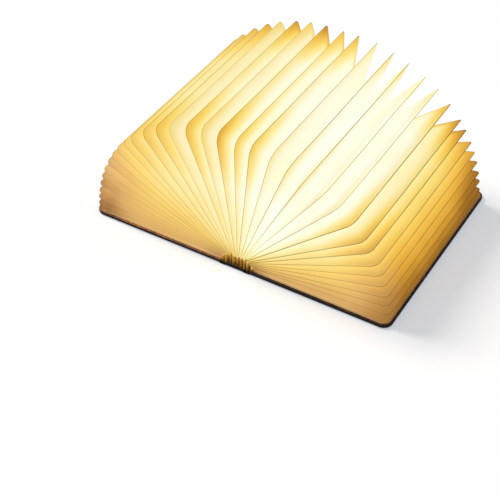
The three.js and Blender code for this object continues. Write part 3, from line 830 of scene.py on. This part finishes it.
cover_leather = cover_leather_finish()
print("finish:", cover_leather.name)

# %% [markdown]
# ## The ornament as a height
#
# The ornament is pressed into the leather by a heated plate, so every figure has soft shoulders
# and none stands higher than 0.6 mm. It is written as a height above the ground of the leather:
# each figure is a rib or a dome around a distance, and the highest figure wins at each point.
# Its design is a generic one, with a knotted border, corner roses and a flower in a rope ring.

# %% Figures of the ornament
hinge_low, hinge_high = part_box("back_hinge_leather")
board_low, board_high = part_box("back_board")
RELIEF = hinge_low.z
SKIN_TOP = hinge_high.z
LEATHER = SKIN_TOP - RELIEF
SEAT_GAP = board_low.z - SKIN_TOP
COVER_NEAR = cover_low.x
COVER_FAR = cover_high.x
COVER_HALF = cover_high.y
COVER_MIDDLE = (COVER_NEAR + COVER_FAR) / 2
CASE_CORNER = 0.009
FRAME_LINE, FRAME_WIDTH = 0.006, 0.004
THIN_LINE, THIN_WIDTH = 0.0128, 0.0016
LINE_INSET = 0.012
BRACKET_RADIUS, BRACKET_WIDTH = 0.0289, 0.0022
ROSE_INSET = 0.025
ROSE_RING, ROSE_LEAF, ROSE_LINE_HALF, ROSE_HEART_HALF = 0.0068, 0.0039, 0.0012, 0.0027
RUNG_PITCH, RUNG_WIDTH, RUNG_GROUP = 0.0034, 0.002, 0.042
KNOT_HALF = 0.0019
LATTICE_PITCH, LATTICE_HALF, STUD_HALF = 0.0085, 0.0010, 0.0021
ROUNDEL_REACH = 0.056
# Radius and half width of the rings of the medallion, and the measures of its petals.
ROPE_RADIUS, ROPE_HALF = 0.0323, 0.0017
BEAD_RADIUS, BEAD_HALF = 0.0274, 0.0016
RING_RADIUS, RING_HALF = 0.0238, 0.0008
BUD_RADIUS, BUD_HALF = 0.0178, 0.0019
PETAL_START, PETAL_LENGTH, PETAL_WIDTH, HEART_HALF = 0.008, 0.0135, 0.0144, 0.006
# How far the lattice keeps from the edge, the medallion, the bracket's corner and the roundel.
CLEAR_EDGE, CLEAR_MEDALLION, CLEAR_CORNER, CLEAR_ROUNDEL = 0.0148, 0.0352, 0.0312, 0.0092
# The spine's raised bands, its rails, the flower in each panel and the dots beside it.
BAND_PITCH, BAND_HALF, BAND_END = 0.0405, 0.0035, 0.09
RAIL_X, RAIL_HALF, RAIL_END = 0.0053, 0.0012, 0.102
FLOWER_RADIUS, FLOWER_LINE_HALF, FLOWER_HEART_HALF, END_FLOWER_Y = 0.0027, 0.0009, 0.0012, 0.0935
DOT_START, DOT_PITCH, DOT_HALF, PANELS_END = 0.0075, 0.0045, 0.0009, 0.085


def rib(distance, half):
    """Height of a rounded rib: 1 on its middle line and 0 from half on."""
    return np.sqrt(np.clip(1 - (distance / half) ** 2, 0, 1))


def rise(value, low, high):
    share = np.clip((value - low) / (high - low), 0, 1)
    return share * share * (3 - 2 * share)


def nearest(value, pitch):
    """Signed distance to the nearest multiple of pitch."""
    return value - pitch * np.round(value / pitch)


def highest(*figures):
    return np.maximum.reduce(figures)


def rose(x, y):
    far = np.hypot(x, y)
    around = nearest(np.arctan2(y, x), math.pi / 3)
    leaf = rib(np.hypot(far - ROSE_LEAF, around * far), ROSE_LINE_HALF) * 0.7
    return highest(rib(far - ROSE_RING, ROSE_LINE_HALF), rib(far, ROSE_HEART_HALF), leaf)


def medallion(x, y):
    far = np.hypot(x, y)
    around = np.arctan2(y, x)
    rope = rib(far - ROPE_RADIUS, ROPE_HALF) * (0.72 + 0.28 * np.cos(44 * around + far / 0.0005))
    beads = rib(np.hypot(nearest(around, math.pi / 18) * far, far - BEAD_RADIUS), BEAD_HALF)
    ring = rib(far - RING_RADIUS, RING_HALF) * 0.85
    turn = nearest(around, math.pi / 4)
    along = far * np.cos(turn)
    aside = far * np.sin(turn)
    share = np.clip((along - PETAL_START) / PETAL_LENGTH, 0, 1)
    width = PETAL_WIDTH * share * (1 - share) + 1e-6
    petal = rib(aside, width) * (0.62 + 0.38 * np.abs(aside) / width) * (width > 0.0002)
    vein = rib(aside, 0.0007) * np.where(width > 0.001, 0.8, 0)
    between = nearest(around - math.pi / 8, math.pi / 4)
    bud = rib(np.hypot(between * far, far - BUD_RADIUS), BUD_HALF) * 0.75
    return highest(rope, beads, ring, petal, vein, bud, rib(far, HEART_HALF))


def inside_cover(x, y):
    """How far inside the outline of the cover a point is."""
    past_x = x - (COVER_FAR - CASE_CORNER)
    past_y = np.abs(y) - (COVER_HALF - CASE_CORNER)
    straight = np.minimum(COVER_FAR - x, COVER_HALF - np.abs(y))
    rounded = CASE_CORNER - np.hypot(past_x, past_y)
    inside = np.where((past_x > 0) & (past_y > 0), rounded, straight)
    return np.minimum(inside, x - COVER_NEAR)


def cover_relief(x, y):
    edge = inside_cover(x, y)
    from_side = np.minimum(COVER_FAR - x, x - COVER_NEAR)
    from_end = COVER_HALF - np.abs(y)
    along = np.where(from_side < from_end, y, x - COVER_MIDDLE)
    frame = rib(edge - FRAME_LINE, FRAME_WIDTH / 2) * (0.8 + 0.2 * rib(nearest(along, 0.0025), 0.0012))
    line = rib(edge - THIN_LINE, THIN_WIDTH / 2) * 0.85
    between = (FRAME_LINE + FRAME_WIDTH / 2 + LINE_INSET) / 2
    in_group = np.abs(nearest(along, RUNG_GROUP)) < RUNG_GROUP / 2 - 0.005
    in_border = rise(0.0017 - np.abs(edge - between), 0, 0.0006)
    rungs = rib(nearest(along, RUNG_PITCH), RUNG_WIDTH / 2) * in_group * in_border * 0.7
    knot = rib(np.hypot(nearest(along + RUNG_GROUP / 2, RUNG_GROUP), edge - between), KNOT_HALF)

    corner_x = from_side - LINE_INSET
    corner_y = from_end - LINE_INSET
    in_field = (corner_x > 0) & (corner_y > 0)
    from_corner = np.hypot(corner_x, corner_y)
    bracket = rib(from_corner - BRACKET_RADIUS, BRACKET_WIDTH / 2) * in_field
    step = ROSE_INSET - LINE_INSET
    roses = rose(corner_x - step, corner_y - step)

    from_middle = x - COVER_MIDDLE
    centre = medallion(from_middle, y)
    roundel_y = np.abs(y) - ROUNDEL_REACH
    roundel = rose(from_middle, roundel_y)
    slants = [(from_middle + way * y) / math.sqrt(2) for way in (1, -1)]
    bars = [rib(nearest(slant + LATTICE_PITCH / 2, LATTICE_PITCH), LATTICE_HALF) for slant in slants]
    lattice = highest(*bars) * 0.62
    stud = rib(np.hypot(*(nearest(slant, LATTICE_PITCH) for slant in slants)), STUD_HALF) * 0.85
    room = rise(highest(CLEAR_EDGE - edge, CLEAR_MEDALLION - np.hypot(from_middle, y),
                        CLEAR_CORNER - from_corner, CLEAR_ROUNDEL - np.hypot(from_middle, roundel_y)),
                -0.0008, 0.0)
    field = highest(lattice, stud) * (1 - room)
    return highest(frame, line, rungs, knot, bracket, roses, centre, roundel, field)


def spine_relief(x, y):
    from_middle = np.abs(y)
    band = rise(BAND_HALF - np.abs(nearest(y, BAND_PITCH)), 0, 0.0011) * (from_middle < BAND_END)
    band = band * (0.75 + 0.25 * rib(nearest(x, 0.0019), 0.00095))
    rail = rib(np.abs(x) - RAIL_X, RAIL_HALF) * (from_middle < RAIL_END) * 0.8
    panel = nearest(y + BAND_PITCH / 2, BAND_PITCH)
    in_panels = from_middle < PANELS_END
    far = np.hypot(x, np.where(in_panels, panel, from_middle - END_FLOWER_Y))
    flower = highest(rib(far - FLOWER_RADIUS, FLOWER_LINE_HALF), rib(far, FLOWER_HEART_HALF))
    dots = rib(np.hypot(x, nearest(np.abs(panel) - DOT_START, DOT_PITCH)), DOT_HALF) * 0.7
    clear_of_flower = np.abs(panel) > DOT_START - 0.002
    return highest(band, rail, flower, dots * clear_of_flower * in_panels)


print("ground of the leather", round(RELIEF * 1000, 2), "mm above the table")

# %% [markdown]
# ## The leather of a cover
#
# The skin is one closed shell: the embossed outer face, a round lower edge, the wall, the turned-in
# margin over the inner side, and the flat face that the board lies on. The outer face is a grid
# whose corner patches are bent from squares to quarter discs. The rest are rings around it. The
# upper edge of the front cover, which the hand takes hold of, is the most rubbed.

# %% Grid and rings of a cover
GRID_PITCH = 0.00062
LOWER_ROUND = 0.0014
UPPER_ROUND = 0.0007
TURN_IN_WIDTH = 0.014
SHARP_FROM = math.radians(50)
LOWER_WEAR = 0.40
UPPER_WEAR = {1: 0.40, -1: 0.58}
LOWER_STEPS, UPPER_STEPS = 6, 5


def corner_centre(inset):
    radius = max(CASE_CORNER - inset, LEATHER)
    return radius, COVER_FAR - inset - radius, COVER_HALF - inset - radius


ROUND_RADIUS, ROUND_X, ROUND_Y = corner_centre(LOWER_ROUND)
CELLS_ROUND = round(ROUND_RADIUS / GRID_PITCH)
CELLS_X = round((ROUND_X - COVER_NEAR) / GRID_PITCH)
CELLS_Y = round(ROUND_Y * 2 / GRID_PITCH)


def outer_face():
    """Places of the grid, as two tables with a row for each x and a column for each y."""
    square = np.linspace(0, 1, CELLS_ROUND + 1)[1:]
    xs = np.concatenate([np.linspace(COVER_NEAR, ROUND_X, CELLS_X + 1), ROUND_X + ROUND_RADIUS * square])
    middle = np.linspace(-ROUND_Y, ROUND_Y, CELLS_Y + 1)
    ends = ROUND_Y + ROUND_RADIUS * square
    ys = np.concatenate([-ends[::-1], middle, ends])
    x, y = np.meshgrid(xs, ys, indexing="ij")
    a = np.clip((x - ROUND_X) / ROUND_RADIUS, 0, 1)
    b = np.clip((np.abs(y) - ROUND_Y) / ROUND_RADIUS, 0, 1)
    x = np.where((a > 0) & (b > 0), ROUND_X + ROUND_RADIUS * a * np.sqrt(1 - b * b / 2), x)
    y = np.where((a > 0) & (b > 0), np.sign(y) * (ROUND_Y + ROUND_RADIUS * b * np.sqrt(1 - a * a / 2)), y)
    return x, y


def ring(inset, z):
    """Stations around the cover from the hinge side back to it, the same number at every inset."""
    radius, far, half = corner_centre(inset)
    eighth = np.arcsin(np.linspace(0, 1, CELLS_ROUND + 1) / math.sqrt(2))
    turns = np.concatenate([eighth, math.pi / 2 - eighth[-2::-1]])[1:-1]
    along_x = np.linspace(COVER_NEAR, far, CELLS_X + 1)
    corner_x = far + radius * np.sin(turns)
    corner_y = half + radius * np.cos(turns)
    xs = [along_x, corner_x, np.full(CELLS_Y + 1, far + radius), corner_x[::-1], along_x[::-1]]
    end = np.full(CELLS_X + 1, half + radius)
    ys = [-end, -corner_y, np.linspace(-half, half, CELLS_Y + 1), corner_y[::-1], end]
    flat = np.concatenate(xs), np.concatenate(ys)
    return np.stack([*flat, np.full(len(flat[0]), z)], axis=1)


def edge_profile(upper_wear):
    """Inset, height and wear of each ring, from the outer face up the wall and over the margin."""
    steps = [(LOWER_ROUND * (1 - math.sin(t)), RELIEF + LOWER_ROUND * (1 - math.cos(t)),
              LOWER_WEAR * math.cos(t)) for t in np.linspace(0, math.pi / 2, LOWER_STEPS)[1:]]
    top = cover_high.z
    steps += [(UPPER_ROUND * (1 - math.cos(t)), top - UPPER_ROUND * (1 - math.sin(t)),
               upper_wear * math.sin(t)) for t in np.linspace(0, math.pi / 2, UPPER_STEPS)]
    low = board_high.z + SEAT_GAP
    return steps + [(inset, z, 0.0) for inset, z in
                    ((TURN_IN_WIDTH, top), (TURN_IN_WIDTH, low), (LEATHER, low), (LEATHER, SKIN_TOP))]


def shell_mesh(name, points, faces, raised):
    mesh = bpy.data.meshes.new(name)
    mesh.from_pydata(points.tolist(), [], faces)
    mesh.attributes.new("raised", "FLOAT", "POINT").data.foreach_set("value", raised.astype(np.float32))
    mesh.materials.append(cover_leather)
    mesh.shade_smooth()
    mesh.set_sharp_from_angle(angle=SHARP_FROM)
    return mesh


def quads(first, second):
    """Faces between two lines of points, given by their numbers."""
    return np.stack([first[:-1], first[1:], second[1:], second[:-1]], axis=1).tolist()


def cover_mesh(name, side):
    x, y = outer_face()
    height = cover_relief(x, y)
    grid = np.arange(x.size).reshape(x.shape)
    points = [np.stack([x.ravel(), y.ravel(), RELIEF * (1 - height.ravel())], axis=1)]
    faces = []
    for row, next_row in zip(grid, grid[1:]):
        faces += quads(row, next_row)
    line = np.concatenate([grid[:, 0], grid[-1, 1:], grid[-2::-1, -1]])
    count = grid.size
    raised = [height.ravel()]
    tail_end, head_end = [], []
    for inset, z, wear in edge_profile(UPPER_WEAR[side]):
        following = count + np.arange(len(line))
        points.append(ring(inset, z))
        raised.append(np.full(len(line), wear))
        faces += quads(line, following)
        line = following
        count += len(line)
        tail_end.append(int(line[0]))
        head_end.append(int(line[-1]))
    faces.append(line.tolist())
    faces.append(grid[0, ::-1].tolist() + tail_end + head_end[::-1])
    points = np.concatenate(points)
    points[:, 0] *= side
    return shell_mesh(name, points, faces, np.concatenate(raised))


def leather_piece(name, mesh, body, replaced):
    piece = face_outward(new_piece(name, mesh))
    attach(piece, body)
    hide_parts(replaced)
    return piece


covers = [leather_piece(f"leather_{body}", cover_mesh(f"leather_{body}", side), body,
                        body.replace("cover", "leather"))
          for side, body in ((1, "back_cover"), (-1, "front_cover"))]
print("faces of a cover:", len(covers[0].data.polygons))

# %% [markdown]
# ## Spine and hinges
#
# The spine's skin and the two hinge strips are loops of points, repeated in columns and closed at
# both ends. The spine carries raised bands and is wrapped up over the head and the tail. The
# hinge strips are supple and grooved, and lie between the spine and a cover. They reach the
# leather on both sides, so that no light shows through.

# %% Spine and hinge leather
GROOVE_X, GROOVE_HALF, GROOVE_DEPTH = 0.0011, 0.0009, 0.00022
HINGE_POINTS = 19
HINGE_COLUMNS = 61
HINGE_SEAM = 0.00002
spine_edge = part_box("spine_leather")[1].x


def closed_run(name, loops, raised):
    """A closed shell from loops of equal length: tables of columns, points and coordinates."""
    columns, count = loops.shape[:2]
    number = np.arange(columns * count).reshape(columns, count)
    faces = []
    for column in range(columns - 1):
        here = np.append(number[column], number[column, 0])
        there = np.append(number[column + 1], number[column + 1, 0])
        faces += quads(here, there)
    faces += [number[0].tolist(), number[-1].tolist()]
    return shell_mesh(name, loops.reshape(-1, 3), faces, raised.ravel())


def spine_skin():
    low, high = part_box("spine_leather")
    half = high.y
    bottom_y = np.linspace(-half + LEATHER, half - LEATHER, round(half * 2 / GRID_PITCH))
    turn = np.linspace(0, math.pi / 2, 5)[1:]
    wall_y = half - LEATHER * (1 - np.sin(turn))
    wall_z = RELIEF + LEATHER * (1 - np.cos(turn))
    wrap_y = np.concatenate([wall_y, [half, half - LEATHER, half - LEATHER]])
    wrap_z = np.concatenate([wall_z, [high.z, high.z, SKIN_TOP]])
    y = np.concatenate([bottom_y, wrap_y, -wrap_y[::-1]])
    z = np.concatenate([np.full(len(bottom_y), RELIEF), wrap_z, wrap_z[::-1]])
    xs = np.linspace(low.x, high.x, round((high.x - low.x) / GRID_PITCH))
    x, y = np.meshgrid(xs, y, indexing="ij")
    z = np.tile(z, (len(xs), 1))
    height = np.zeros(x.shape)
    outer = slice(1, len(bottom_y) - 1)
    height[:, outer] = spine_relief(x[:, outer], y[:, outer])
    return closed_run("leather_spine", np.stack([x, y, z - RELIEF * height], axis=2), height)


def hinge_skin(side, name):
    across = np.linspace(spine_edge + HINGE_SEAM, COVER_NEAR - HINGE_SEAM, HINGE_POINTS)
    middle = (hinge_low.x + hinge_high.x) / 2
    groove = rib(np.abs(across - middle) - GROOVE_X, GROOVE_HALF) * GROOVE_DEPTH
    x = np.concatenate([across, across[::-1]]) * side
    z = np.concatenate([RELIEF + groove, np.full(len(across), SKIN_TOP)])
    ys = np.linspace(hinge_low.y, hinge_high.y, HINGE_COLUMNS)
    y = np.repeat(ys[:, None], len(x), axis=1)
    loops = np.stack([np.tile(x, (len(ys), 1)), y, np.tile(z, (len(ys), 1))], axis=2)
    return closed_run(name, loops, np.zeros(y.shape))


spine_piece = leather_piece("leather_spine", spine_skin(), "spine", "spine_leather")

for side, name, cover_body in ((1, "back_hinge", "back_cover"), (-1, "front_hinge", "front_cover")):
    strip = face_outward(new_piece("leather_" + name, hinge_skin(side, "leather_" + name)))
    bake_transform(strip)
    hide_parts(name + "_leather")
print("spine faces:", len(spine_piece.data.polygons))

# %% [markdown]
# ## The folded foot
#
# At the tail the ends of the sheet are gathered in a zigzag that stands in front of the roots of
# the pages. It is a strip that swings out and in by turns, so its tree needs only a grid, the
# number of its folds, and the places where it starts and ends.
#
# The middle of the foot stands on the spine. Its two ends, and one small flap, ride on the covers.

# %% Tree and pieces: the folded foot
FOOT_ROWS = 9
# Tones of the foot, from its painted shade low down and between the folds up to the painted light of its
# rim.
FOOT_TONES = [
    (0.24, (0.036, 0.017, 0.004)),
    (0.44, (0.17, 0.075, 0.009)),
    (0.68, (0.54, 0.265, 0.030)),
    (0.88, (0.72, 0.43, 0.09)),
    (1.0, (0.95, 0.76, 0.38)),
]


def foot_tree():
    tree, given, result = new_group(
        "folded_foot", "GeometryNodeTree",
        {"Folds": 7, "Start": Vector(), "End": Vector(), "Start Top": 0.010, "End Top": 0.010,
         "Arch": 0.0, "Fold Depth": 0.0020, "Lean In": 0.0005, "Unevenness": 0.6, "Sway": 0.45,
         "Seed": 0.0, "Paper": None},
        {"Foot": "Geometry"})
    folds = given["Folds"]
    shape = wire(tree, "GeometryNodeMeshGrid", {"Size X": 1.0, "Size Y": 1.0,
                                                "Vertices X": folds * 2.0 + 1.0, "Vertices Y": FOOT_ROWS})
    here = wire(tree, "GeometryNodeInputPosition")
    along, share = part(here, "X") + 0.5, part(here, "Y") + 0.5
    column = round(along * 2.0 * folds)
    chance = chance_of(column + given["Seed"])
    from_ends = (1.0 - along) * 4.0 * along
    drift = (chance * given["Sway"] + given["Sway"] * -0.5) / folds
    along = drift * maths("MULTIPLY", from_ends, 4.0, clamp=True) + along
    chance = chance * given["Unevenness"]
    outward = column % 2.0 * (1.0 - chance)
    shape = store(shape, outward=outward, height=share)
    low = mix("VECTOR", along, given["Start"], given["End"])
    top = (given["End Top"] - given["Start Top"]) * along + given["Start Top"]
    top = (from_ends * given["Arch"] + top) * (chance * -0.5 + 1.0)
    y = share * given["Lean In"] + outward * (given["Fold Depth"] * -1.0)
    finish_shape(shape, vector_maths("ADD", low, combine(0.0, y, share * top)), given["Paper"], result)
    return tree


def folded_foot_finish():
    """Glowing paper, with painted shade between its folds and near the spine, and painted light along its
    upper rim.
    """
    finish, shader, place = new_finish("folded_foot", 0.7, specular=PAPER_SHINE)
    height = attribute(shader, "height")
    # Painted shade: darker toward the spine and in the inner folds, with a little random noise. The rim
    # gets painted light.
    lit = height * 0.40 + (attribute(shader, "outward") * 0.34 + noise(place, 260.0) * 0.4)
    set_glow(shader, colour_steps(lit + smooth(height, 0.82, 1.0, 0.0, 0.22), FOOT_TONES))
    return finish


FOOT_FRONT = 0.0025
board_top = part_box("spine_board")[1].z
foot_y = -COVER_HALF + FOOT_FRONT
foot_maker = foot_tree()
foot_paper = folded_foot_finish()


def make_foot(name, body, folds, start, end, tops, **others):
    """A run of the foot from start to end, each given as x and z, with its height at both."""
    foot = grown("paper_" + name, foot_maker, {
        "Folds": folds, "Start": (start[0], foot_y, start[1]), "End": (end[0], foot_y, end[1]),
        "Start Top": tops[0], "End Top": tops[1], "Paper": foot_paper, **others,
    })
    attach(foot, body)
    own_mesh(foot)
    return foot


foot_ground = board_top + PAPER_THICKNESS
end_ground = 0.003
flap_ground = lining_high + 0.0005
foot = make_foot("foot", "spine", 6, (-0.0112, foot_ground), (0.0112, foot_ground), (0.0100, 0.0118),
                 Arch=0.0022)
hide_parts("root_gusset")
for name, body, from_x, to_x, ground, tops, seed in (
        ("foot_front_end", "front_cover", -0.0141, -0.0114, end_ground, (0.008, 0.0085), 20.0),
        ("foot_back_end", "back_cover", 0.0114, 0.0141, end_ground, (0.0125, 0.011), 40.0),
        ("foot_flap", "back_cover", 0.0156, 0.0192, flap_ground, (0.0075, 0.0015), 60.0)):
    make_foot(name, body, 1, (from_x, ground), (to_x, ground), tops, Seed=seed)
print("foot faces:", len(foot.data.polygons))

# %% [markdown]
# ## Finishes for the rigid pieces
#
# The boards, the linings and the light unit keep their rigid shapes and only get a finish. Most
# of them are some plain stuff with specks or fibres in it, so they share one group that mixes two
# tones by a fine noise and a coarse one.
#
# The board of the spine can be seen between the roots of the middle pages. It is lined with the
# same paper as the shade and glows too, but carries painted shade where it sticks out in front of the foot.

# %% Shader group: speckled
SPINE_FADE = 0.003
# The painted shade of the lining in front of the foot, where no glow reaches.
SPINE_SHADE_TONE = (0.035, 0.020, 0.008, 1)


def speckled_group():
    tree, given, result = new_group(
        "speckled", "ShaderNodeTree",
        {"Position": Vector(), "Scale": 600.0, "Stretch": 0.0, "First": (1, 1, 1, 1),
         "Second": (0, 0, 0, 1)},
        {"Colour": "Color", "Height": "Float"})
    place, scale, stretch, first, second = given.values()
    fine = noise(place, scale, 5.0, stretch)
    coarse = noise(place, scale * 0.06)
    mixed = smooth(coarse * 0.4 + fine * 0.6, 0.36, 0.64)
    fill(result, {"Colour": mix_colour(mixed, first, second), "Height": fine})
    return tree


speckled = speckled_group()


def specks(place, first, second, scale, stretch):
    """The colour and the height of a speckled stuff."""
    return from_group(speckled, place, Scale=scale, Stretch=stretch, First=(*first, 1), Second=(*second, 1))


def speckled_finish(name, first, second, scale, stretch=0.0, roughness=0.6, metallic=0.0, glow=0.0):
    finish, shader, place = new_finish(name, roughness, metallic)
    colour, height = specks(place, first, second, scale, stretch)
    fill(shader, {"Base Color": colour})
    if glow:
        fill(shader, {"Emission Color": colour, "Emission Strength": glow})
    set_bump(shader, height, 0.4, 0.00005)
    return finish


def spine_lining_finish():
    """Paper that glows behind the foot and carries painted shade where it sticks out in front of it."""
    finish, shader, place = new_finish("spine_lining", 0.75)
    paper = specks(place, (0.86, 0.62, 0.24), (0.94, 0.74, 0.36), 1100.0, 2.0)[0]
    # Painted shade in front of the foot, glowing paper behind it.
    lit = smooth(part(place, "Y"), foot_y, foot_y + SPINE_FADE)
    set_glow(shader, mix_colour(lit, SPINE_SHADE_TONE, paper))
    return finish


def dress(finish, *names):
    for name in names:
        nodes[name].data.materials.clear()
        nodes[name].data.materials.append(finish)


# Two tones and the scale of the specks, other settings, and the pieces that wear the finish.
RIGID_FINISHES = {
    "grey_board": [(0.20, 0.18, 0.15), (0.34, 0.31, 0.27), 900.0, {"roughness": 0.9},
                   "back_board", "front_board"],
    "lining_paper": [(0.74, 0.58, 0.36), (0.84, 0.69, 0.46), 1100.0, {"stretch": 2.0, "roughness": 0.75},
                     "back_endpaper", "front_endpaper"],
    "white_plastic": [(0.80, 0.79, 0.75), (0.86, 0.85, 0.81), 1500.0, {"roughness": 0.42}, "light_tray"],
    "frosted_plastic": [(1.0, 0.93, 0.76), (1.0, 0.97, 0.86), 300.0, {"glow": 1.6}, "diffuser"],
    "plated_steel": [(0.55, 0.56, 0.57), (0.66, 0.67, 0.68), 2500.0,
                     {"stretch": 3.0, "roughness": 0.28, "metallic": 1.0},
                     "charge_socket", "strip_screw_tail", "strip_screw_head"],
    "nickel": [(0.60, 0.60, 0.61), (0.70, 0.70, 0.71), 1800.0, {"roughness": 0.18, "metallic": 1.0},
               "sensor_magnet"],
    "cell_wrap": [(0.22, 0.34, 0.46), (0.30, 0.43, 0.55), 500.0, {"stretch": 1.0, "roughness": 0.3},
                  "battery_cell"],
    "circuit_board": [(0.012, 0.10, 0.045), (0.03, 0.20, 0.09), 420.0, {"stretch": 4.0, "roughness": 0.35},
                      "control_board"],
    "lamp_strip": [(0.86, 0.80, 0.55), (0.92, 0.88, 0.70), 700.0, {"glow": 0.8}, "lamp_strip"],
    "switch_glass": [(0.35, 0.55, 0.50), (0.45, 0.66, 0.60), 250.0, {"roughness": 0.06}, "lid_switch"],
}
dress(spine_lining_finish(), "spine_board")
for name, (first, second, scale, settings, *dressed) in RIGID_FINISHES.items():
    dress(speckled_finish(name, first, second, scale, **settings), *dressed)
print("rigid pieces dressed")

# %% Close the lesson
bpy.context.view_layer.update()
